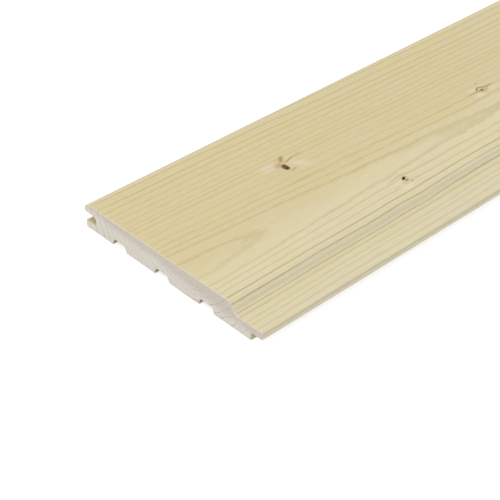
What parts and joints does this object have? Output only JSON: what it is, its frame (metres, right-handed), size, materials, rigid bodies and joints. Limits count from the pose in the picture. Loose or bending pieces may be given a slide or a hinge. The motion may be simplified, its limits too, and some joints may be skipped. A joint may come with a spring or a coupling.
{
  "type": "soffit board",
  "caption": "Planed softwood tongue-and-groove board with a shouldered face edge and relief channels along its underside, for lining the underside of a roof overhang.",
  "frame": {"origin": "middle of the underside", "axes": "+X along the length, +Y across the board from the tongue to the groove, +Z square to the face, out of the side that shows"},
  "size_m": [2, 0.1459, 0.016],
  "materials": {
    "spruce": "planed, untreated"
  },
  "bodies": {
    "root": {"soffit_board": "spruce"}
  },
  "joints": []
}
